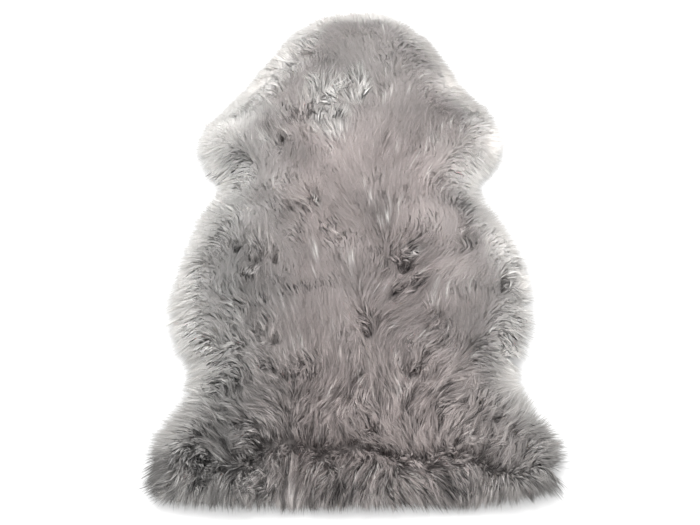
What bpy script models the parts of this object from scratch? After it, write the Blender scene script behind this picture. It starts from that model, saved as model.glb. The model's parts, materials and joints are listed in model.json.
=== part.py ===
"""Sheepskin rug: one whole pelt with its wool on, laid flat with the wool up.

The pelt is a single soft solid. Its underside is the flat skin that lies on the floor, and its
top is the crown of the wool, which rounds over along the whole edge and dips at the partings.
+Y runs from the tail end to the neck end, +X to the right, +Z up. Sizes are in metres. The
origin is on the floor, in the middle of the outline.
"""

import math
from collections import namedtuple

import bmesh
import bpy

LENGTH = 1.005  # from the tail fringe to the tips at the neck
WIDTH = 0.650  # across the hind flaps, the widest place
PILE = 0.055  # usual height of the wool over the floor
RIM = 0.012  # height of the wool's outermost tips over the floor
LIP = 0.007  # how far the underside keeps in from the tips
SHOULDER = 0.080  # how far in from the edge the wool has reached its full height
TAIL_BOW_LEFT = 0.010  # how much further the middle of the tail fringe reaches than its left corner
TAIL_BOW_RIGHT = 0.024  # and than its right corner
CELLS_ALONG = 70  # grid cells from the tail end to the neck end
CELLS_ACROSS = 32  # grid cells from the left edge to the right edge
CROWDING = 0.75  # 0 spaces the grid evenly, 1 crowds it towards the edges
RING_POINTS = 220  # points on each side of the outline that distances are measured to
CREASE_DEG = 50  # edges that turn more than this stay sharp in the shading
WOOL_GREY = (0.36, 0.33, 0.32, 1.0)
WOOL_ROUGHNESS = 0.85

# The outline: how far the wool reaches to each side of the middle line, as shares of half WIDTH,
# at stations given as shares of half LENGTH from the tail end (-1) to the neck end (1).
Station = namedtuple("Station", "along left right")
STATIONS = (
    Station(along=-1.00, left=0.96, right=0.93),  # tail end
    Station(along=-0.95, left=0.98, right=0.97),
    Station(along=-0.89, left=0.99, right=0.98),  # hind flaps
    Station(along=-0.85, left=1.00, right=1.00),
    Station(along=-0.79, left=0.99, right=0.98),
    Station(along=-0.72, left=0.93, right=0.94),
    Station(along=-0.66, left=0.87, right=0.87),
    Station(along=-0.61, left=0.83, right=0.83),
    Station(along=-0.57, left=0.82, right=0.80),  # flank, the narrow place before the hind flaps
    Station(along=-0.52, left=0.83, right=0.81),
    Station(along=-0.44, left=0.90, right=0.87),
    Station(along=-0.37, left=0.94, right=0.90),
    Station(along=-0.25, left=0.95, right=0.92),  # belly
    Station(along=-0.14, left=0.92, right=0.90),
    Station(along=-0.01, left=0.87, right=0.83),
    Station(along=0.07, left=0.84, right=0.77),
    Station(along=0.13, left=0.78, right=0.70),
    Station(along=0.17, left=0.74, right=0.68),
    Station(along=0.20, left=0.72, right=0.67),  # notch under the fore flaps
    Station(along=0.24, left=0.80, right=0.73),
    Station(along=0.29, left=0.84, right=0.79),
    Station(along=0.35, left=0.87, right=0.82),  # fore flaps
    Station(along=0.42, left=0.86, right=0.81),
    Station(along=0.47, left=0.82, right=0.79),
    Station(along=0.52, left=0.73, right=0.74),
    Station(along=0.58, left=0.67, right=0.67),
    Station(along=0.65, left=0.59, right=0.59),
    Station(along=0.74, left=0.51, right=0.53),  # neck
    Station(along=0.84, left=0.41, right=0.45),
    Station(along=0.90, left=0.34, right=0.37),
    Station(along=0.95, left=0.26, right=0.31),
    Station(along=0.98, left=0.18, right=0.23),
    Station(along=1.00, left=0.10, right=0.14),  # neck end
)

# The unevenness of the wool's crown: where a parting sinks or a tuft stands up, by how much,
# and how far its slope reaches. All in metres.
Relief = namedtuple("Relief", "across along height reach")
RELIEFS = (
    Relief(across=0.055, along=-0.050, height=-0.012, reach=0.030),  # partings
    Relief(across=0.052, along=-0.105, height=-0.010, reach=0.028),
    Relief(across=0.080, along=-0.165, height=-0.009, reach=0.032),
    Relief(across=0.195, along=-0.145, height=-0.010, reach=0.036),
    Relief(across=-0.045, along=-0.010, height=-0.008, reach=0.028),
    Relief(across=-0.150, along=-0.070, height=-0.010, reach=0.034),
    Relief(across=-0.130, along=-0.305, height=-0.010, reach=0.036),
    Relief(across=0.090, along=-0.270, height=-0.010, reach=0.032),
    Relief(across=-0.190, along=-0.385, height=-0.012, reach=0.040),
    Relief(across=-0.050, along=-0.395, height=-0.012, reach=0.040),
    Relief(across=0.110, along=-0.385, height=-0.009, reach=0.036),
    Relief(across=-0.100, along=0.235, height=-0.008, reach=0.032),
    Relief(across=-0.040, along=0.330, height=0.005, reach=0.040),  # tufts
    Relief(across=0.130, along=0.090, height=0.005, reach=0.040),
    Relief(across=-0.060, along=-0.200, height=0.004, reach=0.050),
    Relief(across=0.160, along=-0.300, height=0.004, reach=0.045),
    Relief(across=-0.020, along=0.130, height=0.004, reach=0.050),
)


def clear_scene():
    for obj in list(bpy.data.objects):
        bpy.data.objects.remove(obj)


def slope(low, high, side):
    """How fast a side of the outline moves between two stations."""
    return (getattr(high, side) - getattr(low, side)) / (high.along - low.along)


def reach_at(along, side):
    """How far the wool reaches to one side at a station, smoothly between the table's rows."""
    last = len(STATIONS) - 1
    k = next((i for i in range(last) if along <= STATIONS[i + 1].along), last - 1)
    low = STATIONS[k]
    high = STATIONS[k + 1]
    gap = high.along - low.along
    t = min(max((along - low.along) / gap, 0.0), 1.0)
    start = getattr(low, side)
    end = getattr(high, side)
    rise_at_start = slope(STATIONS[max(k - 1, 0)], high, side) * gap
    rise_at_end = slope(low, STATIONS[min(k + 2, last)], side) * gap
    reach = (
        start * (2 * t**3 - 3 * t**2 + 1)
        + rise_at_start * (t**3 - 2 * t**2 + t)
        + end * (3 * t**2 - 2 * t**3)
        + rise_at_end * (t**3 - t**2)
    )
    return min(reach, 1.0)


def on_plan(u, v, inset):
    """The place on plan of a grid point, where u and v run from -1 to 1, kept in by inset."""
    left = -reach_at(v, "left") * WIDTH / 2 + inset
    right = reach_at(v, "right") * WIDTH / 2 - inset
    x = left + (right - left) * (u + 1) / 2
    bow = TAIL_BOW_RIGHT if u > 0 else TAIL_BOW_LEFT
    return x, v * (LENGTH / 2 - inset) + bow * max(-v, 0) ** 8 * u**4


def crowded(t):
    """A grid coordinate from -1 to 1, drawn towards the ends by CROWDING."""
    return (1 - CROWDING) * t + CROWDING * math.sin(t * math.pi / 2)


def outline_ring():
    """The outline on plan as a closed ring: tail end, right side, neck end, left side."""
    steps = [-1 + 2 * i / RING_POINTS for i in range(RING_POINTS)]
    tail = [on_plan(t, -1, 0) for t in steps]
    right = [on_plan(1, t, 0) for t in steps]
    neck = [on_plan(-t, 1, 0) for t in steps]
    left = [on_plan(-1, -t, 0) for t in steps]
    return tail + right + neck + left


def distance_in(x, y, ring):
    """How far a point on plan is from the outline."""
    best = math.inf
    for (ax, ay), (bx, by) in zip(ring, ring[1:] + ring[:1]):
        dx = bx - ax
        dy = by - ay
        t = ((x - ax) * dx + (y - ay) * dy) / (dx * dx + dy * dy)
        t = min(max(t, 0.0), 1.0)
        best = min(best, math.hypot(x - ax - t * dx, y - ay - t * dy))
    return best


def crown(x, y, ring):
    """The height of the wool over a point on plan."""
    t = min(distance_in(x, y, ring) / SHOULDER, 1.0)
    rounded = math.sqrt(1 - (1 - t) ** 2)
    uneven = sum(
        r.height * math.exp(-((x - r.across) ** 2 + (y - r.along) ** 2) / r.reach**2)
        for r in RELIEFS
    )
    return RIM + (PILE - RIM + uneven) * rounded


def wool_material():
    material = bpy.data.materials.new("grey_wool")
    material.use_nodes = True
    shader = material.node_tree.nodes["Principled BSDF"]
    shader.inputs["Base Color"].default_value = WOOL_GREY
    shader.inputs["Roughness"].default_value = WOOL_ROUGHNESS
    shader.inputs["Metallic"].default_value = 0.0
    return material


def make_pelt(collection):
    """The pelt: a flat grid for the skin, extruded once and raised to the crown of the wool."""
    ring = outline_ring()
    bm = bmesh.new()
    bmesh.ops.create_grid(bm, x_segments=CELLS_ACROSS, y_segments=CELLS_ALONG, size=1)
    skin = list(bm.verts)
    raised = bmesh.ops.extrude_face_region(bm, geom=bm.faces[:], use_keep_orig=True)
    wool = [v for v in raised["geom"] if isinstance(v, bmesh.types.BMVert)]
    for vert in skin:
        x, y = on_plan(crowded(vert.co.x), crowded(vert.co.y), LIP)
        vert.co = (x, y, 0.0)
    for vert in wool:
        x, y = on_plan(crowded(vert.co.x), crowded(vert.co.y), 0.0)
        vert.co = (x, y, crown(x, y, ring))
    bmesh.ops.recalc_face_normals(bm, faces=bm.faces[:])
    mesh = bpy.data.meshes.new("sheepskin")
    bm.to_mesh(mesh)
    bm.free()
    mesh.shade_smooth()
    mesh.set_sharp_from_angle(angle=math.radians(CREASE_DEG))
    mesh.materials.append(wool_material())
    pelt = bpy.data.objects.new("sheepskin", mesh)
    collection.objects.link(pelt)


def main():
    clear_scene()
    rug = bpy.data.collections.new("sheepskin_rug")
    bpy.context.scene.collection.children.link(rug)
    make_pelt(rug)


main()
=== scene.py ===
import json
import math
import bmesh
import bpy
import numpy as np
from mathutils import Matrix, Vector, kdtree
from mathutils.bvhtree import BVHTree

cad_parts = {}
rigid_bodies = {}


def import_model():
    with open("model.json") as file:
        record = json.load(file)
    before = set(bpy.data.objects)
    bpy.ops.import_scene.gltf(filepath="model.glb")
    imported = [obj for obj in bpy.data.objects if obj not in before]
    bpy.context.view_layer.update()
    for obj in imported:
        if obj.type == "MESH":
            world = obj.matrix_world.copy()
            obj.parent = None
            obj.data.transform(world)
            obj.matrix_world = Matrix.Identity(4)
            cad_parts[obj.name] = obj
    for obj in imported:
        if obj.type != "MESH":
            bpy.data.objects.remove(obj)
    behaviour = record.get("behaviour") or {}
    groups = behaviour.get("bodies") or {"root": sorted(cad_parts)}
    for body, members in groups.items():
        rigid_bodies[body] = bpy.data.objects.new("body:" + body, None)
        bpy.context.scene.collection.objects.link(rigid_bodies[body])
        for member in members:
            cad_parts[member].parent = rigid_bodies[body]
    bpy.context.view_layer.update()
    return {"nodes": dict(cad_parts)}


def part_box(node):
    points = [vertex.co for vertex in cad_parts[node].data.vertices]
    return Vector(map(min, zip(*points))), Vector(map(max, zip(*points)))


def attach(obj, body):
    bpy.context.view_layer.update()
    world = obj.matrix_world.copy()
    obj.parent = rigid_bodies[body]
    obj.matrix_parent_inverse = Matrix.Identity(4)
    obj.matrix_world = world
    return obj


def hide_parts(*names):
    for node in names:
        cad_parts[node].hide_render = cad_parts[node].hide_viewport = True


# Sheepskin rug: suede skin underneath, dense underwool on it, and long locks of fine strands.
# Metres. The tail end is at -Y, the neck end at +Y, and the wool is up.

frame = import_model()
pelt = frame["nodes"]["sheepskin"]
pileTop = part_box("sheepskin")[1].z
rng = np.random.default_rng(41)


def smoothStep(t):
    t = np.clip(t, 0.0, 1.0)
    return t * t * (3 - 2 * t)


def ramp(values, startAndWay):
    # 0 up to the start, then rising to 1 over the way
    start, way = startAndWay
    return smoothStep((values - start) / way)


def unit(vectors):
    return vectors / np.maximum(np.linalg.norm(vectors, axis=-1, keepdims=True), 1e-9)


def softNoise(points, cell, seed, size=128, start=57.3, gain=1.5):
    # smooth noise on plan, about -1 to 1, with bumps about as wide as cell
    table = np.random.default_rng(seed).uniform(-1, 1, (size, size))
    place = turned(points[:, :2], seed) / cell + start  # the seed also turns the grid
    corner = np.floor(place).astype(int)
    part = smoothStep(place - corner)
    i = corner[:, 0] % size
    j = corner[:, 1] % size
    iNext = (i + 1) % size
    jNext = (j + 1) % size
    low = table[i, j] * (1 - part[:, 0]) + table[iNext, j] * part[:, 0]
    high = table[i, jNext] * (1 - part[:, 0]) + table[iNext, jNext] * part[:, 0]
    return gain * (low * (1 - part[:, 1]) + high * part[:, 1])


def waves(points, heightAndCell, seed):
    # smooth ups and downs of a height, each about a cell wide
    height, cell = heightAndCell
    return height * softNoise(points, cell, seed)


def turned(directions, angle):
    c = np.cos(angle)
    s = np.sin(angle)
    x = directions[:, 0] * c - directions[:, 1] * s
    y = directions[:, 0] * s + directions[:, 1] * c
    return np.stack([x, y], axis=1)


planSettings = {
    "cell": 0.004,  # pitch of the map
    "margin": 0.05,  # map beyond the outline
    "rimHeight": 0.0115,  # where the solid is widest
    "fanTurns": 24,  # blurs of the way outwards, against seams where two edges are near
    "crownTurns": 2,
}


def outlineEdges(node, height, weld=1e-5):
    # the pelt's outline at a height, as pairs of ends
    bm = bmesh.new()
    bm.from_mesh(node.data)
    bmesh.ops.remove_doubles(bm, verts=bm.verts, dist=weld)
    whole = bm.verts[:] + bm.edges[:] + bm.faces[:]
    cut = bmesh.ops.bisect_plane(bm, geom=whole, plane_co=(0, 0, height), plane_no=(0, 0, 1))
    edges = [e for e in cut["geom_cut"] if isinstance(e, bmesh.types.BMEdge)]
    ends = np.array([[v.co[:2] for v in e.verts] for e in edges])
    bm.free()
    return ends


class PlanGrid:
    # values on a flat grid over the pelt, read anywhere between its points
    def __init__(self, cell, margin):
        low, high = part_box("sheepskin")
        self.cell = cell
        self.start = np.array(low[:2]) - margin
        self.count = np.ceil((np.array(high[:2]) + margin - self.start) / cell).astype(int) + 1
        xs = self.start[0] + cell * np.arange(self.count[0])
        ys = self.start[1] + cell * np.arange(self.count[1])
        self.points = np.stack(np.meshgrid(xs, ys, indexing="ij"), axis=-1).reshape(-1, 2)
        self.maps = {}

    def keep(self, name, values):
        self.maps[name] = np.asarray(values, float).reshape(self.count[0], self.count[1], -1)

    def blurred(self, name, turns):
        values = self.maps[name].copy()
        for turn in range(turns):
            for axis in (0, 1):
                values = (np.roll(values, 1, axis) + 2 * values + np.roll(values, -1, axis)) / 4
        self.maps[name] = values

    def read(self, name, points):
        values = self.maps[name]
        place = np.clip((points[:, :2] - self.start) / self.cell, 0, self.count - 1.001)
        corner = place.astype(int)
        part = place - corner
        i, j = corner[:, 0], corner[:, 1]
        u, v = part[:, :1], part[:, 1:]
        low = values[i, j] * (1 - u) + values[i + 1, j] * u
        high = values[i, j + 1] * (1 - u) + values[i + 1, j + 1] * u
        found = low * (1 - v) + high * v
        return found[:, 0] if found.shape[1] == 1 else unit(found)


def measure(grid, ends):
    # nearest point of the outline, and whether a point is inside it
    best = np.full(len(grid), np.inf)
    nearest = np.zeros((len(grid), 2))
    crossings = np.zeros(len(grid), int)
    for a, b in ends:
        side = b - a
        t = np.clip((grid - a) @ side / max(side @ side, 1e-12), 0, 1)
        foot = a + t[:, None] * side
        far = ((grid - foot) ** 2).sum(axis=1)
        closer = far < best
        best[closer] = far[closer]
        nearest[closer] = foot[closer]
        spans = (a[1] > grid[:, 1]) != (b[1] > grid[:, 1])
        if abs(side[1]) > 1e-12:
            meets = a[0] + (grid[:, 1] - a[1]) / side[1] * side[0]
            crossings += spans & (grid[:, 0] < meets)
    return nearest, crossings % 2 == 1


def makePlan(settings=planSettings):
    grid = PlanGrid(settings["cell"], settings["margin"])
    nearest, inside = measure(grid.points, outlineEdges(pelt, settings["rimHeight"]))
    away = nearest - grid.points
    sign = np.where(inside, 1.0, -1.0)
    grid.keep("inward", np.linalg.norm(away, axis=1) * sign)
    grid.keep("outward", unit(away * sign[:, None]))
    grid.keep("fanned", unit(away * sign[:, None]))
    grid.blurred("fanned", settings["fanTurns"])
    tree = BVHTree.FromObject(pelt, bpy.context.evaluated_depsgraph_get())
    hits = [tree.ray_cast((x, y, 1.0), (0, 0, -1))[0] for x, y in grid.points]
    grid.keep("crown", [0.0 if hit is None else hit.z for hit in hits])
    grid.blurred("crown", settings["crownTurns"])
    return grid


plan = makePlan()
print("plan read:", plan.count)


flowSettings = {
    "fanReach": 0.085,  # wool this near the edge turns outwards
    "sideways": 2.6,  # how much the wool on the back falls to the sides
    "outwards": 1.4,  # how strongly it turns there
    "tailParting": -0.425,  # behind this line the wool falls over the tail end
    "partingWaves": (0.021, 0.07),  # how far that line wanders, over what distance
    "partingTurn": 0.012,  # half the way over which the wool changes sides there
    "broadSwirl": (24, 0.10),  # degrees, over what distance
    "fineSwirl": 14,  # degrees, over fineCell
    "fineCell": 0.036,
    "lively": (0.9, 0.09),  # how much the fine swirl comes and goes
    "middleSway": (0.05, 0.16),  # how far the line that the wool falls away from wanders
    "rimSwirl": 0.5,  # share of the swirl near the edge
    "skirtAt": -0.46,  # along this strip the wool turns outwards only half as much
    "skirtHalf": 0.05,
    "fan": 0.5,  # how strongly wool spreads as it leaves a parting
}


def inMetres(*spots):
    # spots are given as across, along and radius, in whole millimetres, and a strength
    return [(x / 1000, y / 1000, radius / 1000, strength) for x, y, radius, strength in spots]


# Partings, short openings whose roots get painted shade; the strength is their depth, 0 to 1
partings = inMetres(
    (-85, 360, 15, 0.6), (60, 335, 15, 0.4), (-110, 255, 16, 0.4), (-70, 195, 13, 0.8),
    (-140, 185, 16, 0.8), (-90, 165, 11, 0.7), (130, 155, 15, 0.4), (60, 145, 13, 0.4),
    (-50, 25, 14, 0.8), (-105, 20, 12, 0.7), (-10, -20, 11, 0.5), (-55, -45, 10, 0.2),
    (190, -45, 13, 0.6), (-160, -60, 16, 0.9), (-210, -70, 13, 0.9), (65, -90, 22, 0.9),
    (-160, -100, 14, 0.8), (40, -115, 12, 0.8), (240, -115, 16, 0.8), (70, -140, 18, 1),
    (-180, -155, 15, 0.9), (-260, -155, 13, 0.7), (130, -185, 13, 0.8), (110, -205, 11, 0.8),
    (-170, -205, 16, 0.9), (30, -225, 13, 0.8), (225, -220, 16, 1), (-210, -225, 13, 0.8),
    (-150, -240, 18, 1), (-120, -290, 15, 0.9), (90, -295, 15, 0.9), (-150, -300, 13, 0.8),
    (160, -320, 13, 0.8), (-200, -325, 15, 0.8), (-5, -380, 15, 1), (175, -385, 18, 0.7),
    (-120, -400, 16, 1), (-220, -400, 18, 1), (220, -420, 13, 0.5), (50, -425, 23, 1),
    (120, -425, 15, 0.9), (-170, -440, 20, 1), (-230, -440, 18, 1), (-130, -445, 18, 1),
    (-50, -435, 18, 1),
)

# Tufts, where pale wavy locks stand over the rest
tufts = inMetres(
    (-60, 265, 28, 1), (-35, 260, 24, 1), (5, 290, 14, 0.9), (20, 270, 16, 0.9), (10, 250, 16, 0.8),
    (-60, 190, 16, 0.6), (-25, 210, 20, 0.7), (-30, 170, 16, 0.7), (-155, 150, 14, 0.4),
    (145, 150, 14, 0.3),
)

# Spots where a few streaks get a painted highlight, as if they caught the light
paintedHighlightSpots = inMetres(
    (-220, 40, 12, 0.9), (-195, 30, 12, 1), (-170, 90, 14, 0.6), (-160, 20, 14, 0.6), (-95, 35, 14, 0.5),
    (-65, 45, 12, 0.7), (30, 35, 16, 0.5), (55, 0, 14, 0.8), (80, 25, 14, 0.6), (150, 35, 16, 0.9),
    (140, 15, 14, 0.8), (95, -55, 12, 0.9), (100, -80, 14, 1), (100, -100, 12, 0.9), (155, -130, 16, 1),
    (140, -150, 14, 0.8), (175, -130, 14, 0.7), (-15, -80, 16, 0.6), (5, -125, 16, 0.7),
    (-60, -60, 14, 0.5), (-20, -120, 14, 0.6), (-175, -65, 14, 0.5), (-120, -150, 16, 0.5),
    (-40, -205, 16, 0.5), (120, -230, 16, 0.6), (65, -230, 16, 0.5), (-90, -230, 16, 0.5),
)

# Patches of lighter and darker wool, partly their own tone and partly painted light and shade where the
# wool faces towards or away from the light; the strength is the change of tone
patches = inMetres(
    (240, -420, 80, 0.7), (160, -380, 50, 0.65), (80, -420, 60, 0.25), (10, -400, 45, 1),
    (-80, -460, 30, 0.1), (-240, -460, 50, 0.35), (-290, -380, 30, 0.5), (-150, -380, 30, 0.6),
    (80, -310, 40, 0.25), (160, -280, 35, 0.7), (250, -260, 50, 0.35), (-280, -160, 30, 0.2),
    (290, -100, 30, 0.5), (250, -20, 30, 0.5), (200, -30, 25, -0.5), (-80, 60, 30, 0.4),
    (260, -40, 40, 0.25), (160, -100, 35, 0.4), (130, 10, 45, 0.45), (170, 130, 50, 0.7),
    (250, 200, 40, 0.8), (170, 330, 35, 0.75), (0, 310, 35, -0.35), (-20, 180, 60, 0.3),
    (-30, 300, 35, 0.25), (-100, 370, 40, 0.35), (-170, 320, 30, 0.5), (-100, 220, 30, 0.4),
    (-220, 210, 50, 0.45), (-200, 110, 35, 0.5), (-110, 70, 35, 0.3), (-40, 140, 30, 0.3),
    (-190, 20, 35, 0.5), (200, 250, 40, -0.5), (0, 460, 50, -0.4), (-50, 350, 45, -0.5),
    (-120, 300, 40, -0.2), (110, 380, 35, -0.3), (130, 200, 50, -0.4), (-160, 200, 40, -0.3),
    (-30, 220, 30, -0.35), (60, 130, 40, -0.2), (-90, 140, 35, -0.5), (-240, 50, 60, -0.35),
    (-230, 120, 40, -0.6), (-50, 70, 40, -0.15), (200, 50, 40, -0.5), (40, 10, 35, -0.65),
    (-140, 20, 50, -0.35), (-190, -90, 50, -0.5), (-170, -170, 50, -0.3), (-80, -60, 30, -0.4),
    (110, -60, 35, -0.6), (120, -120, 30, -0.4), (-120, -120, 40, -0.3), (-10, -100, 40, -0.4),
    (40, -80, 50, -0.15), (60, -140, 50, -0.2), (-80, -200, 60, -0.4), (-210, -270, 50, -0.15),
    (240, -120, 35, -0.25), (60, -220, 50, -0.3), (140, -200, 40, -0.5), (200, -250, 40, -0.7),
    (200, -180, 25, -0.4), (120, -340, 30, -0.2), (200, -370, 35, -0.55), (280, -380, 30, -0.4),
    (-200, -400, 50, -0.4), (-240, -430, 30, -0.5), (140, -470, 35, -0.7), (180, -420, 30, 1.9),
    (-100, -470, 20, -0.6), (20, -370, 100, 0.3), (-270, -470, 40, 0.5), (-30, -470, 35, -1),
)


openingSettings = {
    "each": 3,  # small openings to a parting
    "size": (0.3, 0.5),  # their half width, as a share of the parting's
    "strength": (0.5, 0.9),  # and their depth
    "across": 1.7,  # how far one reaches sideways, in half widths
    "ahead": 1.1,  # and how far it fades along the wool
    "spread": 1.5,  # and how far the wool fans out round it
    "lip": (-0.002, 0.003),  # its sharp near side: where it starts, and over what way
}


def openedUp(spots, chance, settings=openingSettings):
    # each parting is a few small openings close together
    openings = []
    for x, y, half, strength in spots:
        for k in range(settings["each"]):
            dx, dy = chance.normal(size=2) * half
            size = half * chance.uniform(*settings["size"])
            depth = strength * chance.uniform(*settings["strength"])
            openings.append((x + dx, y + dy, size, depth))
    return openings


openings = openedUp(partings, np.random.default_rng(43))


def spotAt(points, spots, spread):
    # how deep in a spot each point is
    depth = np.zeros(len(points))
    for x, y, radius, strength in spots:
        off = points[:, :2] - (x, y)
        near = strength * np.exp(-(off**2).sum(axis=1) / (spread * radius) ** 2)
        depth = np.maximum(depth, near)
    return depth


patchSettings = {
    "paleEdge": 0.040,  # darker patches fade towards the edge over this
    "foot": (0.40, 0.03),  # the foot of the tail end is darker from here on: painted shade where it turns under
    "footHigh": 0.045,  # how far in from the edge it reaches
    "footShade": 0.60,
}


def patchAt(points, settings=patchSettings):
    # the change of tone at each point: patches that are partly painted light and shade, and painted
    # shade at the foot of the tail end
    total = np.zeros(len(points))
    for x, y, radius, change in patches:
        off = points[:, :2] - (x, y)
        total += change * np.exp(-(off**2).sum(axis=1) / radius**2)
    inward = plan.read("inward", points)
    inner = smoothStep(inward / settings["paleEdge"])
    total = np.where(total < 0, total * inner, total)
    foot = ramp(-points[:, 1], settings["foot"])
    foot *= 1 - smoothStep(inward / settings["footHigh"])
    return total - settings["footShade"] * foot


def fromBand(points):
    # how far each place is ahead of the line where the wool parts near the tail
    wander = waves(points, flowSettings["partingWaves"], 7)
    return points[:, 1] - flowSettings["tailParting"] - wander


def combedFlow(points, settings=flowSettings):
    # the lie of the wool before the small partings
    inward = plan.read("inward", points)
    fan = 1 - smoothStep(inward / settings["fanReach"])
    ahead = np.tanh(fromBand(points) / settings["partingTurn"])
    middle = waves(points, settings["middleSway"], 8)
    combed = np.stack([(points[:, 0] - middle) * settings["sideways"], ahead], axis=1)
    lively = 1 + waves(points, settings["lively"], 9)
    swirl = waves(points, settings["broadSwirl"], 5)
    swirl = swirl + settings["fineSwirl"] * lively * softNoise(points, settings["fineCell"], 6)
    swirl = np.radians(swirl)
    combed = turned(unit(combed), swirl)
    out = turned(plan.read("fanned", points), settings["rimSwirl"] * swirl)
    inSkirt = np.abs(points[:, 1] - settings["skirtAt"]) < settings["skirtHalf"]
    fan = fan * np.where(inSkirt, 0.5, 1.0)
    return unit(combed * (1 - fan)[:, None] + out * (settings["outwards"] * fan)[:, None])


def partedAt(points, settings=openingSettings):
    # depth in a parting, which has a sharp near side and fades along the wool that leaves it,
    # and how the wool fans out there
    depth = np.zeros(len(points))
    fan = np.zeros((len(points), 2))
    ways = combedFlow(np.array([row[:2] for row in openings]))
    for (x, y, half, strength), way in zip(openings, ways):
        off = points[:, :2] - (x, y)
        ahead = off @ way
        aside = off @ (way[1], -way[0])
        across = np.exp(-((aside / (settings["across"] * half)) ** 2))
        here = strength * across * ramp(ahead, settings["lip"])
        fading = (np.maximum(ahead, 0) / (settings["ahead"] * half)) ** 1.5
        depth = np.maximum(depth, here * np.exp(-fading))
        reach = strength * np.exp(-(off**2).sum(axis=1) / (settings["spread"] * half) ** 2)
        fan += (reach * aside / half)[:, None] * np.array((way[1], -way[0]))
    return depth, fan


spreading = flowSettings["fan"] * partedAt(plan.points)[1]
plan.keep("flow", unit(combedFlow(plan.points) + spreading))

streakSettings = {
    "fine": {"cell": 0.0018, "step": 0.0020, "reach": 9},  # reach is in steps each way along the wool
    "broad": {"cell": 0.0045, "step": 0.0030, "reach": 9},
}


def makeStreaks(seed, settings):
    # noise smeared along the lie of the wool, so that it runs in streaks
    grid = PlanGrid(settings["cell"], planSettings["margin"])
    speckle = np.random.default_rng(seed).normal(size=len(grid.points))
    grid.keep("speckle", speckle)
    total = speckle.copy()
    for sign in (1, -1):
        place = grid.points.copy()
        for k in range(settings["reach"]):
            place = place + sign * settings["step"] * plan.read("flow", place)
            total += grid.read("speckle", place) * (1 - ((k + 1) / (settings["reach"] + 1)) ** 2)
    grid.keep("streak", total / total.std())
    return grid


fine = makeStreaks(51, streakSettings["fine"])
broad = makeStreaks(52, streakSettings["broad"])
fine.keep("parted", partedAt(fine.points)[0])
fine.keep("patch", patchAt(fine.points))
print("streaks made")

coatSettings = {
    "under": 0.006,  # below the solid's top
    "broad": (0.0024, 0.085),  # height of the waves, and how wide they are
    "middling": (0.0010, 0.036),
    "lockRidge": 0.0004,
    "fineRidge": 0.0003,
    "rimTop": 0.010,  # height at the outline
    "rimSlope": 0.55,
    "pastSlope": 0.35,  # the same beyond the outline
    "crownHeld": 0.014,  # nearer the edge than this the solid's top is carried on outwards
    "least": 0.002,
    "parting": 0.007,  # depth of a parting
    "rise": 0.5,  # share of a strand's length in which it comes up to the top
    "settled": 0.011,  # how far under the top strands lie, as a share of its height
    "deepShare": 0.07,  # strands that stay lower, fewer at the rim
    "deepLayer": (0.3, 0.97),
    "lowest": 0.0009,
    "proud": 0.004,  # most that a strand stands over the solid's top
}


def softLeast(a, b, rounding=0.008):
    # the lesser of two heights, with a rounded change from one to the other
    return 0.5 * (a + b - np.sqrt((a - b) ** 2 + rounding**2))


def coatHeight(points, settings=coatSettings):
    # the top of the combed coat over the floor
    inward = plan.read("inward", points)
    held = np.maximum(0, settings["crownHeld"] - inward)
    inner = points[:, :2] - held[:, None] * plan.read("outward", points)
    height = plan.read("crown", inner) - settings["under"]
    slope = np.where(inward > 0, settings["rimSlope"], settings["pastSlope"])
    height = softLeast(height, settings["rimTop"] + slope * inward)
    height += waves(points, settings["broad"], 61)
    height += waves(points, settings["middling"], 62)
    height += settings["lockRidge"] * broad.read("streak", points)
    height += settings["fineRidge"] * fine.read("streak", points)
    height -= settings["parting"] * fine.read("parted", points)
    return np.maximum(height, settings["least"])


fine.keep("coat", coatHeight(fine.points))


# Where each zone starts, and over what way it comes in
zoneSettings = {
    "rim": (0.034, 0.05),  # from the edge inwards
    "tail": (0.22, 0.14),  # from the middle towards the tail end
    "skirt": (0.006, 0.016),  # behind the tail parting
    "skirtSides": (0.24, 0.05),  # out to either side, where the skirt is weaker
    "band": (0.02, 0.03),  # from the edge inwards
    "bandHalf": 0.019,  # half width of the band along the tail parting
    "ruffled": (0.03, 0.04),  # from the edge inwards
}


def zonesAt(points, settings=zoneSettings):
    # how far each place belongs to the rim, the ruffled tail end, the skirt that hangs over the tail,
    # the band between those two where the wool stands, the partings, the tufts and unbrushed patches
    inward = plan.read("inward", points)
    ahead = fromBand(points)
    unbrushed = np.clip(0.30 * softNoise(points, 0.05, 31) + 0.04, 0, 0.4)
    broken = np.clip(0.65 + 0.6 * softNoise(points, 0.045, 32), 0.1, 1)
    skirt = ramp(-ahead, settings["skirt"])
    band = np.exp(-((ahead / settings["bandHalf"]) ** 2))
    return {
        "rim": 1 - ramp(inward, settings["rim"]),
        "tail": ramp(-points[:, 1], settings["tail"]),
        "skirt": skirt * (1 - 0.7 * ramp(np.abs(points[:, 0]), settings["skirtSides"])),
        "band": band * ramp(inward, settings["band"]) * broken,
        "parted": np.clip(1.2 * spotAt(points, openings, 2.0), 0, 1),
        "tuft": np.clip(1.3 * spotAt(points, tufts, 1.0), 0, 1),
        "ruffled": unbrushed * ramp(inward, settings["ruffled"]),
    }


hideSettings = {
    "inset": 0.028,  # how far the wool reaches past the skin's edge
    "thickness": 0.0026,
    "cell": 0.012,
}


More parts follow.
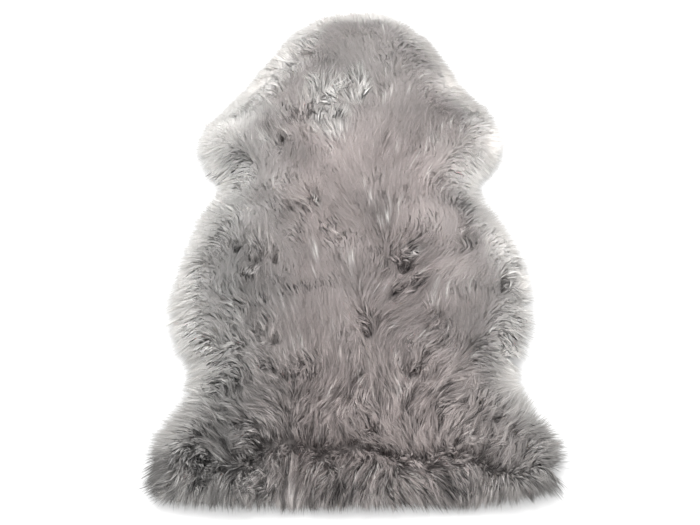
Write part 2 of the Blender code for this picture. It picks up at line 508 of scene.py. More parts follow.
def trimmedGrid(cell, inset, spare=0.35, turns=4, ease=0.3):
    # a flat grid cut to the pelt's outline, kept in by inset, with its edge eased on to that line
    low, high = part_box("sheepskin")
    width = high.x - low.x
    length = high.y - low.y
    bm = bmesh.new()
    across = round(width / cell)
    along = round(length / cell)
    bmesh.ops.create_grid(bm, x_segments=across, y_segments=along, size=0.5)
    bmesh.ops.scale(bm, vec=(width, length, 1), verts=bm.verts)
    points = np.array([v.co[:2] for v in bm.verts])
    inward = plan.read("inward", points)
    outside = [v for v, d in zip(bm.verts, inward) if d < inset - spare * cell]
    bmesh.ops.delete(bm, geom=outside, context="VERTS")
    loose = [v for v in bm.verts if len(v.link_faces) < 2]
    bmesh.ops.delete(bm, geom=loose, context="VERTS")
    for turn in range(turns):
        rim = [v for v in bm.verts if v.is_boundary]
        points = np.array([v.co[:2] for v in rim])
        gap = plan.read("inward", points) - inset
        moved = points + gap[:, None] * plan.read("outward", points)
        for v, place in zip(rim, moved):
            v.co.xy = place
        bmesh.ops.smooth_vert(bm, verts=rim, factor=ease, use_axis_x=True, use_axis_y=True)
    return bm


def placed(name, data):
    made = bpy.data.objects.new(name, data)
    bpy.context.scene.collection.objects.link(made)
    return made


def meshFrom(bm, name):
    mesh = bpy.data.meshes.new(name)
    bm.to_mesh(mesh)
    bm.free()
    mesh.shade_smooth()
    return placed(name, mesh)


def keepValues(mesh, layers):
    # one number for each vertex, for the materials to read
    for key, values in layers.items():
        layer = mesh.attributes.new(key, "FLOAT", "POINT")
        layer.data.foreach_set("value", values.astype(np.float32))


def raisedTop(bm):
    # a second sheet over the first, joined to it along the edge; gives back its vertices
    raised = bmesh.ops.extrude_face_region(bm, geom=bm.faces[:], use_keep_orig=True)
    return [v for v in raised["geom"] if isinstance(v, bmesh.types.BMVert)]


def makeHide(settings=hideSettings):
    bm = trimmedGrid(settings["cell"], settings["inset"])
    area = sum(f.calc_area() for f in bm.faces)
    bmesh.ops.translate(bm, vec=(0, 0, settings["thickness"]), verts=raisedTop(bm))
    bmesh.ops.recalc_face_normals(bm, faces=bm.faces)
    return meshFrom(bm, "suede_skin"), area


underSettings = {
    "inset": 0.025,
    "cell": 0.0085,
    "rimHeight": 0.0052,  # its top at its edge
    "height": 0.0372,  # its top on the back
    "sunk": 0.018,  # how much lower it is where the wool stands open
    "covered": 0.008,  # least depth of combed wool over it
    "shoulder": 0.070,  # way in from its edge over which it rises
    "lump": 0.0035,  # height of its lumps, over lumpCell and, less so, over bitCell
    "lumpCell": 0.016,
    "bitCell": 0.007,
    "overSkin": 0.0004,
    "openHalf": 0.014,  # half width of the open strip along the tail parting
}

paleSettings = {
    "most": 0.9,
    "reach": 0.078,  # how far in from the edge the wool is paler
    "leastReach": 0.022,
    "wander": 0.014,  # how much that reach wanders
    "left": 0.034,  # how much farther it reaches on the left of the neck
    "top": 0.050,  # and how much less across the neck's end
    "neckLess": 0.17,  # share by which the neck's edge is less pale
    "tailLess": 0.72,  # and the tail end's
    "falling": 1.6,  # how quickly the paleness falls off inwards
}


def paleAt(points, settings=paleSettings):
    # wool is paler towards the edge, partly its own colour and partly painted light shining through the
    # thin fringe, but less so round the tail end
    inward = plan.read("inward", points)
    x = points[:, 0]
    y = points[:, 1]
    tailEnd = ramp(-y, (0.31, 0.12))
    neck = ramp(y, (0.12, 0.1))
    neckTop = ramp(y, (0.30, 0.1)) * ramp(x, (-0.10, 0.1))
    wander = softNoise(points, 0.09, 23) + neck * softNoise(points, 0.032, 24)
    reach = settings["reach"] + settings["wander"] * wander
    reach += settings["left"] * neck * ramp(-x, (0.05, 0.1)) - settings["top"] * neckTop
    reach = np.maximum(reach, settings["leastReach"])
    most = (settings["most"] - settings["neckLess"] * neck) * (1 - settings["tailLess"] * tailEnd)
    return most * np.clip(1 - inward / reach, 0, 1.1) ** settings["falling"]


def openAt(points):
    # how far the wool stands open over the underwool, in the partings and along the band
    band = np.exp(-((fromBand(points) / underSettings["openHalf"]) ** 2))
    band *= np.clip(0.45 + 0.6 * softNoise(points, 0.04, 34), 0, 0.9)
    return np.maximum(fine.read("parted", points), band)


def underTop(points, settings=underSettings):
    # height of the underwool over the floor
    inward = plan.read("inward", points) - settings["inset"]
    rise = np.sqrt(1 - (1 - np.clip(inward / settings["shoulder"], 0, 1)) ** 2)
    lump = softNoise(points, settings["lumpCell"], 21)
    lump += 0.6 * softNoise(points, settings["bitCell"], 22)
    high = settings["height"] + settings["lump"] * lump - settings["sunk"] * openAt(points)
    top = settings["rimHeight"] + (high - settings["rimHeight"]) * rise
    return np.minimum(top, fine.read("coat", points) - settings["covered"])


def makeUnderwool(settings=underSettings):
    bm = trimmedGrid(settings["cell"], settings["inset"])
    top = raisedTop(bm)
    low = set(bm.verts) - set(top)
    heights = underTop(np.array([v.co[:2] for v in top]))
    for v, z in zip(top, heights):
        v.co.z = z
    base = hideSettings["thickness"] + settings["overSkin"]
    for v in low:
        v.co.z = base
    bmesh.ops.recalc_face_normals(bm, faces=bm.faces)
    piece = meshFrom(bm, "underwool")
    places = np.array([v.co[:] for v in piece.data.vertices])
    keepValues(piece.data, {"pale": paleAt(places), "open": openAt(places)})
    return piece


lockSettings = {
    "rootInset": 0.002,  # how far inside the skin's edge the strands start
    "rootDepth": 0.004,  # and how far under the top of the underwool
    "spacing": (0.034, 0.014, 0.0056),  # of big, middling and small locks
    "nearer": (0.020, 0.010, 0.004),  # how much nearer the edge each size may stand
    "turn": (6, 5, 4),  # degrees each size turns
    "bow": (16, 0.06),  # degrees a lock turns sideways on its way, changing over what distance
    "curl": (110, 0.03, 0.012),  # the same in the tufts, and over what distance in the partings
    "neckLonger": 0.15,  # share by which wool at the neck end is longer
    "neckFrom": (0.34, 0.08),
    "steps": 20,
    "tone": 0.475,
    "toneWaves": (0.02, 0.045),
}

# How the wool is in each zone, later ones over earlier ones
zoneNames = ("back", "ruffled", "tail", "rim", "skirt", "band", "parted", "tuft")
zoneLooks = {
    "length": (0.060, 0.054, 0.046, 0.080, 0.060, 0.040, 0.040, 0.062),
    "startLift": (50, 54, 56, 42, 30, 82, 60, 60),  # degrees
    "endLift": (-6, 2, 8, -12, -42, 32, 14, 6),
    "smallGather": (0.12, 0.45, 0.65, 0.0, 0.4, 0.75, 0.85, 0.65),
    "midGather": (0.06, 0.2, 0.4, 0.0, 0.25, 0.35, 0.2, 0.2),
    "bigGather": (0.04, 0.05, 0.15, 0.0, 0.05, 0.05, 0.0, 0.0),
    "wander": (0.6, 1.4, 2.2, 0.2, 1.2, 4.0, 2.6, 1.4),
    "sharpness": (2.0, 4.0, 7.0, 1.0, 3.0, 6.0, 8.0, 6.0),
    "onCoat": (1.0, 0.7, 0.45, 1.0, 0.8, 0.1, 0.45, 0.6),
    "toneWander": (0.035, 0.08, 0.17, 0.0, 0.24, 0.5, 0.26, 0.09),
    "streakTone": (0.045, 0.11, 0.24, 0.0, 0.48, 0.52, 0.34, 0.22),
    "brightShare": (0.015, 0.07, 0.2, 0.0, 0.28, 0.34, 0.4, 0.22),
    "width": (1.4, 1.05, 0.85, 1.7, 0.6, 0.6, 0.7, 0.7),
    "roll": (10, 14, 17, 4, 24, 28, 24, 18),  # degrees
}

strandSettings = {
    "count": 236000,
    "stations": 6,  # along each strand, the last one its tip
    "width": 0.00055,
    "profile": (0.6, 1.0, 1.0, 0.9, 0.65, 0.0),  # share of the width at each station
    "unevenWidth": (0.6, 1.3),
    "boldness": 1.1,  # how much wider the bright strands are
    "ownLength": (0.62, 1.08),  # share of the lock's length
    "overShare": 0.5,  # short bright strands over the skirt's long ones
    "overShorter": 0.28,
    "skirtLoose": 0.6,  # how much less the others there gather
    "stray": (0.0010, 0.0010, 0.0006),
    "wave": 0.0003,
    "rimMore": 1.5,  # extra strands near the edge
    "rimMost": 0.030,  # how far the longest strands go past the outline
    "rimFade": 0.056,  # over this distance ever fewer strands reach on
    "neckMore": 0.012,  # the same two more at the neck end
    "neckFade": 0.041,
    "tailMost": 0.005,  # the same two at the tail end
    "tailFade": 0.020,
}


def look(name, zones):
    values = zoneLooks[name]
    value = np.full(len(zones["rim"]), float(values[0]))
    for zone, goal in zip(zoneNames[1:], values[1:]):
        value += zones[zone] * (goal - value)
    return value


def scatter(count, inset, extra, way=0.045):
    # root places inside the skin, denser near its edge
    low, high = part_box("sheepskin")
    kept = np.zeros((0, 2))
    while len(kept) < count:
        tries = rng.uniform((low.x, low.y), (high.x, high.y), (count, 2))
        inward = plan.read("inward", tries)
        share = np.where(inward > inset, 1.0, 0.0) / (1 + extra)
        share *= 1 + extra * (1 - ramp(inward, (inset, way)))
        kept = np.concatenate([kept, tries[rng.random(count) < share]])
    return kept[:count]


def jittered(spacing, inset, jitter=0.38):
    # staggered rows of places, each a little out of line
    low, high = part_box("sheepskin")
    xs = np.arange(low.x, high.x, spacing)
    ys = np.arange(low.y, high.y, spacing * 0.87)
    x, y = np.meshgrid(xs, ys, indexing="ij")
    x = x + spacing * 0.5 * (np.arange(len(ys)) % 2)
    points = np.stack([x.ravel(), y.ravel()], axis=1)
    points += rng.uniform(-jitter, jitter, points.shape) * spacing
    return points[plan.read("inward", points) > inset]


def treeOf(centres):
    tree = kdtree.KDTree(len(centres))
    for i, (x, y) in enumerate(centres):
        tree.insert((x, y, 0), i)
    tree.balance()
    return tree


def nearestOf(points, centres):
    tree = treeOf(centres)
    return np.array([tree.find((x, y, 0))[1] for x, y in points])


def threeNearest(points, centres, sharpness):
    # the three nearest centres and each one's share, which is nearly all the first's where it is sharp
    tree = treeOf(centres)
    found = [tree.find_n((x, y, 0), 3) for x, y in points]
    index = np.array([[f[1] for f in three] for three in found])
    far = np.array([[f[2] for f in three] for three in found]) + 1e-5
    share = (far[:, :1] / far) ** sharpness[:, None]
    return index, share / share.sum(axis=1, keepdims=True)


def lockLines(roots, turn, length, startLift, endLift, bow):
    # the middle line of each lock: it leaves the skin steeply, follows the lie of the wool, bends over
    steps = lockSettings["steps"]
    place = roots.copy()
    line = [roots]
    for k in range(steps):
        s = (k + 0.5) / steps
        steep = (1 - s) ** 1.3
        lift = np.radians(startLift * steep + endLift * (1 - steep))
        way = turned(plan.read("flow", place), turn + bow * s)
        run = (np.cos(lift) * length / steps)[:, None]
        rise = (np.sin(lift) * length / steps)[:, None]
        place = place + np.concatenate([run * way, rise], axis=1)
        line.append(place)
    return np.stack(line, axis=1)


def cutAtPartings(lines, deep=0.3, inside=0.12, near=5, least=0.32):
    # the share of each lock that is left where a deep parting would lie under it, but not near its
    # root, nor if it stands inside the parting itself
    n, count = lines.shape[:2]
    depth = fine.read("parted", lines.reshape(-1, 3)).reshape(n, count)
    blocked = (depth > deep) & (depth[:, :1] < inside) & (np.arange(count) > near)[None, :]
    first = np.where(blocked.any(axis=1), blocked.argmax(axis=1), count - 1)
    return np.maximum(first / (count - 1), least)


def cutPast(lines, reach, least=0.3):
    # the share of each strand that is left when it ends as far past the outline as reach
    n, count = lines.shape[:2]
    left = plan.read("inward", lines.reshape(-1, 3)).reshape(n, count) + reach[:, None]
    left[:, 0] = np.maximum(left[:, 0], 1e-4)
    first = np.where((left < 0).any(axis=1), (left < 0).argmax(axis=1), count - 1)
    before = left[np.arange(n), first - 1]
    after = left[np.arange(n), first]
    part = np.where(after < 0, before / np.maximum(before - after, 1e-6), 1.0)
    return np.maximum((first - 1 + part) / (count - 1), least)


def resampled(lines, reach, stations):
    # each line from its root to the share given by reach, at evenly spaced stations
    place = np.linspace(0, 1, stations)[None, :] * reach[:, None] * (lines.shape[1] - 1)
    low = np.minimum(place.astype(int), lines.shape[1] - 2)
    part = (place - low)[:, :, None]
    rows = np.arange(len(lines))[:, None]
    return lines[rows, low] * (1 - part) + lines[rows, low + 1] * part


def drawnTogether(lines, groupOf, groups, share):
    # lines lean over their length to the middle of their group
    sums = np.zeros((groups,) + lines.shape[1:])
    np.add.at(sums, groupOf, lines)
    counts = np.maximum(np.bincount(groupOf, minlength=groups), 1)
    middle = sums / counts[:, None, None]
    s = np.linspace(0, 1, lines.shape[1])
    return lines + (share[:, None] * (s**1.5)[None, :])[:, :, None] * (middle[groupOf] - lines)


def rootedAt(points):
    # places on plan brought to the height where the strands start
    height = underTop(points) - lockSettings["rootDepth"]
    return np.concatenate([points, height[:, None]], axis=1)


def makeLocks(settings=lockSettings):
    inset = hideSettings["inset"] + settings["rootInset"]
    sizes = zip(settings["spacing"], settings["nearer"])
    big, mid, small = [jittered(spacing, inset - nearer) for spacing, nearer in sizes]
    midOf = nearestOf(small, mid)
    bigOf = nearestOf(mid, big)[midOf]
    n = len(small)
    zones = zonesAt(small)
    wander = look("wander", zones)
    bigRandom = rng.normal(size=(len(big), 4))[bigOf]
    midRandom = rng.normal(size=(len(mid), 4))[midOf]
    smallRandom = rng.normal(size=(n, 4))
    bigTurn, midTurn, smallTurn = settings["turn"]
    turn = bigTurn * bigRandom[:, 0] + midTurn * midRandom[:, 0] + smallTurn * smallRandom[:, 0]
    turn = np.radians(wander * turn)
    length = look("length", zones)
    length *= 1 + 0.05 * bigRandom[:, 1] + 0.05 * midRandom[:, 1] + 0.04 * smallRandom[:, 1]
    length *= 1 + settings["neckLonger"] * ramp(small[:, 1], settings["neckFrom"])
    startLift = look("startLift", zones)
    startLift += wander * (3 * midRandom[:, 2] + 3 * smallRandom[:, 2])
    endLift = look("endLift", zones)
    endLift += wander * (3 * bigRandom[:, 3] + 4 * midRandom[:, 3] + 2 * smallRandom[:, 3])
    most, cell = settings["bow"]
    bow = softNoise(small, cell, 17) + 0.5 * midRandom[:, 3] + 0.3 * smallRandom[:, 3]
    curl, tuftCell, partedCell = settings["curl"]
    curly = zones["tuft"] * softNoise(small, tuftCell, 71)
    curly += zones["parted"] * softNoise(small, partedCell, 72)
    bow = np.radians(most * wander * bow + curl * curly)
    roots = rootedAt(small)
    lines = lockLines(roots, turn, length, startLift, endLift, bow)
    lines = resampled(lines, cutAtPartings(lines), strandSettings["stations"])
    lines = drawnTogether(lines, midOf, len(mid), look("midGather", zones))
    lines = drawnTogether(lines, bigOf, len(big), look("bigGather", zones))
    uneven, cell = settings["toneWaves"]
    tone = settings["tone"] + uneven * (softNoise(small, cell, 33) + bigRandom[:, 2])
    tone += look("toneWander", zones) * (0.6 * midRandom[:, 2] + 0.8 * smallRandom[:, 0])
    print("locks:", len(big), "big,", len(mid), "middling,", n, "small")
    return roots, lines, tone


def grownFrom(feet, zones, roots, lines, nearby, share, over, settings=strandSettings):
    # each strand follows the three locks round it and gathers with the nearest
    m = len(feet)
    root = roots[nearby[:, 0]]
    offset = rootedAt(feet) - root
    own = rng.uniform(*settings["ownLength"], m) * (1 - settings["overShorter"] * over)
    moves = lines - roots[:, None, :]
    path = (moves[nearby] * share[:, :, None, None]).sum(axis=1) * own[:, None, None]
    gather = look("smallGather", zones) * (1 - settings["skirtLoose"] * zones["skirt"] * ~over)
    s = np.linspace(0, 1, settings["stations"])
    loose = (zones["skirt"] * (1 - zones["band"]))[:, None]  # skirt locks open again at their tips
    together = s**1.4 * (1 - loose) + np.sin(np.pi * s**0.8) * loose
    draw = 1 - gather[:, None] * together
    stray = rng.normal(size=(m, 3)) * settings["stray"]
    straying = 1 - 0.4 * gather - 0.5 * zones["rim"] + 3 * zones["band"] + 2 * zones["parted"]
    stray *= straying[:, None]
    wave = rng.normal(size=(m, len(s), 3)) * settings["wave"]
    points = root[:, None, :] + offset[:, None, :] * draw[:, :, None] + path
    points += stray[:, None, :] * (s**1.2)[None, :, None] + wave * s[None, :, None]
    return points


def edgeReach(feet, settings=strandSettings):
    # how far past the outline each strand may go: ever fewer reach on, so that the edge is soft
    y = feet[:, 1]
    outwardY = plan.read("outward", feet)[:, 1]
    tailEnd = ramp(-y, (0.36, 0.05)) * ramp(-outwardY, (0.4, 0.5))
    neckEnd = ramp(y, (0.12, 0.08))
    fade = settings["rimFade"] + (settings["tailFade"] - settings["rimFade"]) * tailEnd
    fade += (settings["neckFade"] - settings["rimFade"]) * neckEnd
    most = settings["rimMost"] + (settings["tailMost"] - settings["rimMost"]) * tailEnd
    most += settings["neckMore"] * neckEnd * (0.4 + 0.6 * smoothStep(outwardY))
    return most - fade * rng.random(len(feet)) ** (1 / 3)


def laidOnCoat(points, shareKept, zones, settings=coatSettings):
    # combed strands come up to the top of the coat and lie on it
    m, stations = points.shape[:2]
    coat = fine.read("coat", points.reshape(-1, 3)).reshape(m, stations)
    layer = 1 - settings["settled"] * np.abs(rng.normal(size=m))
    deep = rng.random(m) < settings["deepShare"] * (1 - 0.8 * zones["rim"])
    layer = np.where(deep, rng.uniform(*settings["deepLayer"], m), layer)
    s = np.linspace(0, 1, stations)
    risen = np.minimum(s[None, :] * shareKept[:, None] / settings["rise"], 1)
    ground = points[:, :1, 2]
    combed = ground + (coat * layer[:, None] - ground) * np.sin(0.5 * np.pi * risen)
    height = points[:, :, 2] + look("onCoat", zones)[:, None] * (combed - points[:, :, 2])
    points[:, :, 2] = np.clip(height, settings["lowest"], pileTop + settings["proud"])
    points[:, -2] = 0.5 * (points[:, -3] + points[:, -1])  # straight tips
    return points


toneSettings = {
    "broadStreak": 0.5,  # strength beside the fine streaks
    "highlight": 0.26,  # how much lighter a painted highlight makes the wool
    "highlightPale": 0.6,
    "highlightFrom": 0.4,  # streaks weaker than this get no painted highlight in these spots
    "highlightMost": 1.6,
    "glint": 0.7,  # streaks over glintFrom get a painted highlight anywhere
    "glintFrom": 2.6,
    "glintCell": 0.06,
    "bright": 0.36,  # how much lighter the bright strands are: a painted highlight on single strands
    "brighter": {"skirt": 0.30, "band": 0.25, "parted": 0.30},  # and how much more in these zones
    "own": 0.012,  # unevenness from strand to strand
    "ownShare": 0.5,  # and its share of toneWander
    "over": 0.08,  # the short strands over the skirt are lighter: painted light on the top layer
    "overPale": 0.4,
    "under": 0.20,  # and the long ones under them darker: painted shade
    "tuft": 0.74,
    "bandShadow": 0.6,  # how far roots are shaded as in a parting
    "tailShadow": 0.35,
    "limits": (-0.4, 1.7),
}


def strandLooks(points, zones, tone, over, settings=toneSettings):
    # what the materials read from each strand, and its width and roll
    m, stations = points.shape[:2]
    s = np.linspace(0, 1, stations)
    every = points.reshape(-1, 3)
    fineStreak = fine.read("streak", every)
    broadStreak = broad.read("streak", every)
    # painted highlights: streaks made lighter and paler in the listed spots and wherever they are
    # strongest
    both = 0.7 * fineStreak + broadStreak - settings["highlightFrom"]
    highlight = spotAt(every, paintedHighlightSpots, 1.1) * np.clip(both, 0, settings["highlightMost"])
    glint = fineStreak + broadStreak - settings["glintFrom"]
    glint += 0.7 * softNoise(every, settings["glintCell"], 73)
    highlight += settings["glint"] * np.clip(glint, 0, 1)
    highlight = highlight.reshape(m, stations)
    streak = (fineStreak + settings["broadStreak"] * broadStreak).reshape(m, stations)
    streak = look("streakTone", zones)[:, None] * streak + settings["highlight"] * highlight
    streak += fine.read("patch", every).reshape(m, stations)
    # bright strands carry a painted highlight
    bright = rng.random(m) < look("brightShare", zones)
    brighter = settings["bright"]
    for zone, more in settings["brighter"].items():
        brighter = brighter + more * zones[zone]
    tone = tone + brighter * bright
    uneven = settings["own"] + settings["ownShare"] * look("toneWander", zones)
    tone += uneven * rng.normal(size=m)
    # painted light on the short skirt strands on top, painted shade on the long ones under them
    tone += settings["over"] * over - settings["under"] * zones["skirt"] * ~over
    middle = (4 * s * (1 - s))[None, :]
    pale = paleAt(every).reshape(m, stations)
    # the short strands on top also get painted light along their middle
    pale = np.maximum(pale, settings["overPale"] * over[:, None] * middle)
    pale = np.maximum(pale, settings["highlightPale"] * highlight)
    shadow = np.maximum(settings["bandShadow"] * zones["band"], settings["tailShadow"] * zones["tail"])
    parted = fine.read("parted", every).reshape(m, stations)
    return {
        "tone": np.clip(tone[:, None] + streak, *settings["limits"]),
        "pale": pale,
        "tuft": settings["tuft"] * zones["tuft"],
        "wide": look("width", zones) * (1 + strandSettings["boldness"] * bright),
        "roll": look("roll", zones),
        "parted": np.maximum(parted, shadow[:, None]),
    }


def makeStrandLines(settings=strandSettings):
    roots, lines, lockTone = makeLocks()
    inset = hideSettings["inset"] + lockSettings["rootInset"]
    feet = scatter(settings["count"], inset, settings["rimMore"])
    feet = feet[np.argsort(feet[:, 1])]
    zones = zonesAt(feet)
    nearby, share = threeNearest(feet, roots[:, :2], look("sharpness", zones))
    over = rng.random(len(feet)) < settings["overShare"] * zones["skirt"]
    points = grownFrom(feet, zones, roots, lines, nearby, share, over)
    shareKept = cutPast(points, edgeReach(feet))
    points = resampled(points, shareKept, settings["stations"])
    points = laidOnCoat(points, shareKept, zones)
    tone = (lockTone[nearby] * share).sum(axis=1)
    return points, strandLooks(points, zones, tone, over)


def ribbonCorners(hand, stations):
    # the corners of each strand's faces, in the order that keeps them facing up on either hand
    corners = [(k, k + 1, k + 2) if k % 2 == 0 else (k + 1, k, k + 2) for k in range(stations - 2)]
    corners = np.array(corners)
    corners = np.where(hand > 0, corners.ravel()[None, :], corners[:, (1, 0, 2)].ravel()[None, :])
    return (np.arange(len(hand))[:, None] * stations + corners).ravel()


def strandMesh(name, points, values, settings=strandSettings):
    # joined ribbons, one point at each station, left and right in turn, so four faces reach to the tip
    m, stations = points.shape[:2]
    tangent = unit(np.gradient(points, axis=1))
    side = unit(np.cross(tangent, (0.0, 0.0, 1.0)))
    roll = np.radians(values["roll"])[:, None, None] * rng.uniform(-1, 1, (m, 1, 1))
    side = side * np.cos(roll) + np.cross(tangent, side) * np.sin(roll)
    hand = np.where(rng.random(m) < 0.5, 1.0, -1.0)[:, None]  # which side each ribbon starts on
    turns = hand * np.resize([-0.5, 0.5], stations)[None, :]
    turns[:, -1] = 0.0
    wide = settings["width"] * rng.uniform(*settings["unevenWidth"], (m, 1, 1))
    wide = wide * values["wide"][:, None, None]
    verts = points + side * wide * (turns * settings["profile"])[:, :, None]
    loops = ribbonCorners(hand, stations)
    mesh = bpy.data.meshes.new(name)
    mesh.vertices.add(m * stations)
    mesh.vertices.foreach_set("co", verts.astype(np.float32).ravel())
    mesh.loops.add(len(loops))
    mesh.loops.foreach_set("vertex_index", loops.astype(np.int32))
    mesh.polygons.add(len(loops) // 3)
    mesh.polygons.foreach_set("loop_start", np.arange(0, len(loops), 3, dtype=np.int32))
    mesh.polygons.foreach_set("loop_total", np.full(len(loops) // 3, 3, dtype=np.int32))
    mesh.update(calc_edges=True)
    along = np.linspace(0, 1, stations)
    layers = {"along": np.tile(along, m)}
    for key in ("tone", "pale", "tuft", "parted"):
        value = values[key]
        layers[key] = np.repeat(value, stations) if value.ndim == 1 else value.ravel()
    keepValues(mesh, layers)
    # one upright strip of the map for each strand
    columns = math.ceil(math.sqrt(m * 4))
    rows = math.ceil(m / columns)
    place = np.arange(m)[:, None]
    u = (place % columns + 0.5 + 0.7 * turns) / columns
    v = (place // columns + 0.03 + 0.94 * along[None, :]) / rows
    uv = np.stack([u.ravel(), v.ravel()], axis=1)[loops]
    layer = mesh.uv_layers.new(name="OFBake")
    layer.data.foreach_set("uv", uv.astype(np.float32).ravel())
    mesh.shade_smooth()
    return placed(name, mesh)


def newMaterial(name):
    material = bpy.data.materials.new(name)
    material.use_nodes = True
    return material, material.node_tree, material.node_tree.nodes["Principled BSDF"]


def setInputs(node, tree, inputs):
    for key, value in inputs.items():
        if isinstance(value, bpy.types.NodeSocket):
            tree.links.new(value, node.inputs[key])
        else:
            node.inputs[key].default_value = value


def addNode(tree, kind, inputs=(), **settings):
    node = tree.nodes.new(kind)
    for key, value in settings.items():
        setattr(node, key, value)
    setInputs(node, tree, dict(inputs))
    return node


def mixColour(tree, factor, a, b):
    return addNode(tree, "ShaderNodeMix", {0: factor, 6: a, 7: b}, data_type="RGBA").outputs[2]


def mapped(tree, value, low=0.0, high=1.0, toLow=0.0, toHigh=1.0, clamp=True):
    inputs = {"Value": value, "From Min": low, "From Max": high, "To Min": toLow, "To Max": toHigh}
    return addNode(tree, "ShaderNodeMapRange", inputs, clamp=clamp).outputs[0]


def worked(tree, operation, a, b, kind="ShaderNodeMath"):
    return addNode(tree, kind, {0: a, 1: b}, operation=operation).outputs[0]


def valueOf(tree, key):
    return addNode(tree, "ShaderNodeAttribute", attribute_name=key).outputs["Fac"]


def objectPlace(tree):
    return addNode(tree, "ShaderNodeTexCoord").outputs["Object"]


def noiseTexture(tree, place, grain):
    return addNode(tree, "ShaderNodeTexNoise", {"Vector": place, **grain}).outputs["Fac"]


# Ranges go from the first two numbers to the next two, or else to 0 and 1
woolColours = {
    "mauve": (0.286, 0.251, 0.243, 1),
    "neutral": (0.277, 0.268, 0.261, 1),
    "pale": (0.67, 0.66, 0.64, 1),
    "left": (-0.08, -0.20),  # where the mauve gives way to neutral
    "right": (0.12, 0.32),
    "neck": (0.15, 0.35, 0.0, 0.6),
    "light": (0.0, 1.0, 0.62, 1.38),  # brightness by tone
    # darker towards the tail end: painted shade
    "tail": (-0.2, -0.42, 1.0, 0.78),
}


def woolColourGroup(colours=woolColours):
    # the fleece's colour by its place, darkened by the painted shade given as Shade and by painted shade
    # towards the tail end
    group = bpy.data.node_groups.new("fleeceColourAndShade", "ShaderNodeTree")
    for name in ("Pale", "Tone", "Shade"):
        group.interface.new_socket(name, in_out="INPUT", socket_type="NodeSocketFloat")
    group.interface.new_socket("Color", in_out="OUTPUT", socket_type="NodeSocketColor")
    given = group.nodes.new("NodeGroupInput").outputs
    result = group.nodes.new("NodeGroupOutput")
    place = addNode(group, "ShaderNodeSeparateXYZ", {"Vector": objectPlace(group)}).outputs
    left = mapped(group, place["X"], *colours["left"])
    right = mapped(group, place["X"], *colours["right"])
    neck = mapped(group, place["Y"], *colours["neck"])
    neutral = worked(group, "MAXIMUM", worked(group, "MAXIMUM", left, right), neck)
    body = mixColour(group, neutral, colours["mauve"], colours["neutral"])
    body = mixColour(group, given["Pale"], body, colours["pale"])
    light = mapped(group, given["Tone"], *colours["light"], clamp=False)
    shaded = worked(group, "MULTIPLY", light, given["Shade"])
    shaded = worked(group, "MULTIPLY", shaded, mapped(group, place["Y"], *colours["tail"]))
    toned = worked(group, "MULTIPLY", body, shaded, kind="ShaderNodeVectorMath")
    setInputs(result, group, {"Color": toned})
    return group


def woolColour(tree, group, pale, tone, shade):
    given = {"Pale": pale, "Tone": tone, "Shade": shade}
    colour = addNode(tree, "ShaderNodeGroup", node_tree=group)
    setInputs(colour, tree, given)
    return colour.outputs[0]


strandFinish = {
    "root": (0.2, 0.8, 0.95, 0.42),  # painted shade of the root, where it lies under the other strands, darker in a parting
    "rootReach": 0.75,  # share of the strand over which it fades
    "tip": 1.05,
    "shader": {
        "Roughness": 0.5,
        "Specular IOR Level": 0.3,
        "Subsurface Weight": 0.35,
        "Subsurface Radius": (1.0, 0.93, 0.9),
        "Subsurface Scale": 0.005,
    },
}


def strandMaterial(group, finish=strandFinish):
    material, tree, shader = newMaterial("combed_wool")
    # painted shade along each strand, darkest at the root
    root = mapped(tree, valueOf(tree, "parted"), *finish["root"])
    shade = mapped(tree, valueOf(tree, "along"), 0.0, finish["rootReach"], root, finish["tip"])
    pale = worked(tree, "MAXIMUM", valueOf(tree, "pale"), valueOf(tree, "tuft"))
    colour = woolColour(tree, group, pale, valueOf(tree, "tone"), shade)
    shader.subsurface_method = "BURLEY"
    setInputs(shader, tree, {"Base Color": colour, **finish["shader"]})
    return material


underwoolFinish = {
    "fibres": {"Scale": 420.0, "Detail": 4.0},
    "shade": (0.0, 1.0, 0.6, 1.15),  # painted shade under the wool, by how pale it is
    "open": (0.0, 1.0, 1.0, 0.5),  # painted shade, darker where the wool stands open over it
    "bump": {"Strength": 0.6, "Distance": 0.002},
}


def underwoolMaterial(group, finish=underwoolFinish):
    material, tree, shader = newMaterial("underwool")
    fibres = noiseTexture(tree, objectPlace(tree), finish["fibres"])
    pale = valueOf(tree, "pale")
    opened = mapped(tree, valueOf(tree, "open"), *finish["open"])
    shade = worked(tree, "MULTIPLY", mapped(tree, pale, *finish["shade"]), opened)
    colour = woolColour(tree, group, pale, fibres, shade)
    bump = addNode(tree, "ShaderNodeBump", {"Height": fibres, **finish["bump"]})
    setInputs(shader, tree, {"Base Color": colour, "Normal": bump.outputs[0], "Roughness": 0.9})
    return material


suedeFinish = {
    "dark": (0.50, 0.44, 0.37, 1),
    "light": (0.66, 0.60, 0.52, 1),
    "broad": {"Scale": 14.0, "Detail": 5.0},
    "nap": {"Scale": 900.0, "Detail": 3.0},
    "napShade": (0.0, 1.0, 0.85, 1.15),
    "bump": {"Strength": 0.4, "Distance": 0.0006},
}


def suedeMaterial(finish=suedeFinish):
    material, tree, shader = newMaterial("suede")
    place = objectPlace(tree)
    nap = noiseTexture(tree, place, finish["nap"])
    spots = noiseTexture(tree, place, finish["broad"])
    colour = mixColour(tree, spots, finish["dark"], finish["light"])
    napShade = mapped(tree, nap, *finish["napShade"])
    toned = worked(tree, "MULTIPLY", colour, napShade, kind="ShaderNodeVectorMath")
    bump = addNode(tree, "ShaderNodeBump", {"Height": nap, **finish["bump"]})
    setInputs(shader, tree, {"Base Color": toned, "Normal": bump.outputs[0], "Roughness": 0.92})
    return material


studio = {
    "aim": (-0.0085, -0.073, 0.03),
    "elevation": 60,  # degrees
    "distance": 1.75,
    "lens": 53,
    "floor": (0.96, 0.96, 0.96, 1),
    "sky": 1.15,
    "key": 30,
    "keyPlace": (-0.35, 1.3, 2.1),
    "keySize": 1.4,
}


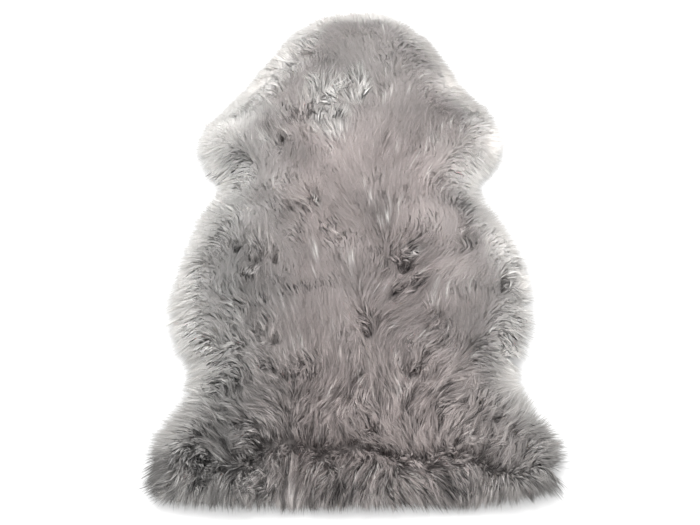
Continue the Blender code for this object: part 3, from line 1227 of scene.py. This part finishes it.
def makeStudio(settings=studio):
    aim = Vector(settings["aim"])
    tilt = math.radians(settings["elevation"])
    back = Vector((0, -math.cos(tilt), math.sin(tilt))) * settings["distance"]
    camera = placed("camera", bpy.data.cameras.new("camera"))
    camera.data.lens = settings["lens"]
    camera.location = aim + back
    camera.rotation_euler = (math.radians(90) - tilt, 0, 0)
    bpy.context.scene.camera = camera

    key = placed("key", bpy.data.lights.new("key", "AREA"))
    key.data.energy = settings["key"]
    key.data.size = settings["keySize"]
    key.location = settings["keyPlace"]
    key.rotation_euler = (aim - key.location).to_track_quat("-Z", "Y").to_euler()

    world = bpy.data.worlds.new("studio")
    world.use_nodes = True
    sky = world.node_tree.nodes["Background"]
    setInputs(sky, world.node_tree, {"Strength": settings["sky"], "Color": (1, 1, 1, 1)})
    bpy.context.scene.world = world
    bpy.context.scene.view_settings.view_transform = "Standard"

    bm = bmesh.new()
    bmesh.ops.create_grid(bm, x_segments=1, y_segments=1, size=6)
    floor = meshFrom(bm, "floor")
    material, tree, shader = newMaterial("pale_floor")
    setInputs(shader, tree, {"Base Color": settings["floor"], "Roughness": 0.9})
    floor.data.materials.append(material)


for spare in [o for o in bpy.data.objects if o.name in ("Cube", "Light", "Camera")]:
    bpy.data.objects.remove(spare)
makeStudio()
print("studio ready")
fleece = woolColourGroup()
hide, hideArea = makeHide()
hide.data.materials.append(suedeMaterial())
print("skin made:", round(hideArea, 3), "m2")
underwool = makeUnderwool()
underwool.data.materials.append(underwoolMaterial(fleece))
print("underwool made:", len(underwool.data.polygons), "faces")

points, shown = makeStrandLines()
woolNames = ("wool_tail", "wool_hind", "wool_belly", "wool_fore", "wool_neck")
combed = strandMaterial(fleece)
wool = []
for name, part in zip(woolNames, np.array_split(np.arange(len(points)), len(woolNames))):
    piece = strandMesh(name, points[part], {key: value[part] for key, value in shown.items()})
    piece.data.materials.append(combed)
    wool.append(piece)
    print(name, "made:", len(part), "strands")

for piece in [hide, underwool] + wool:
    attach(piece, "root")
    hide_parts("sheepskin")
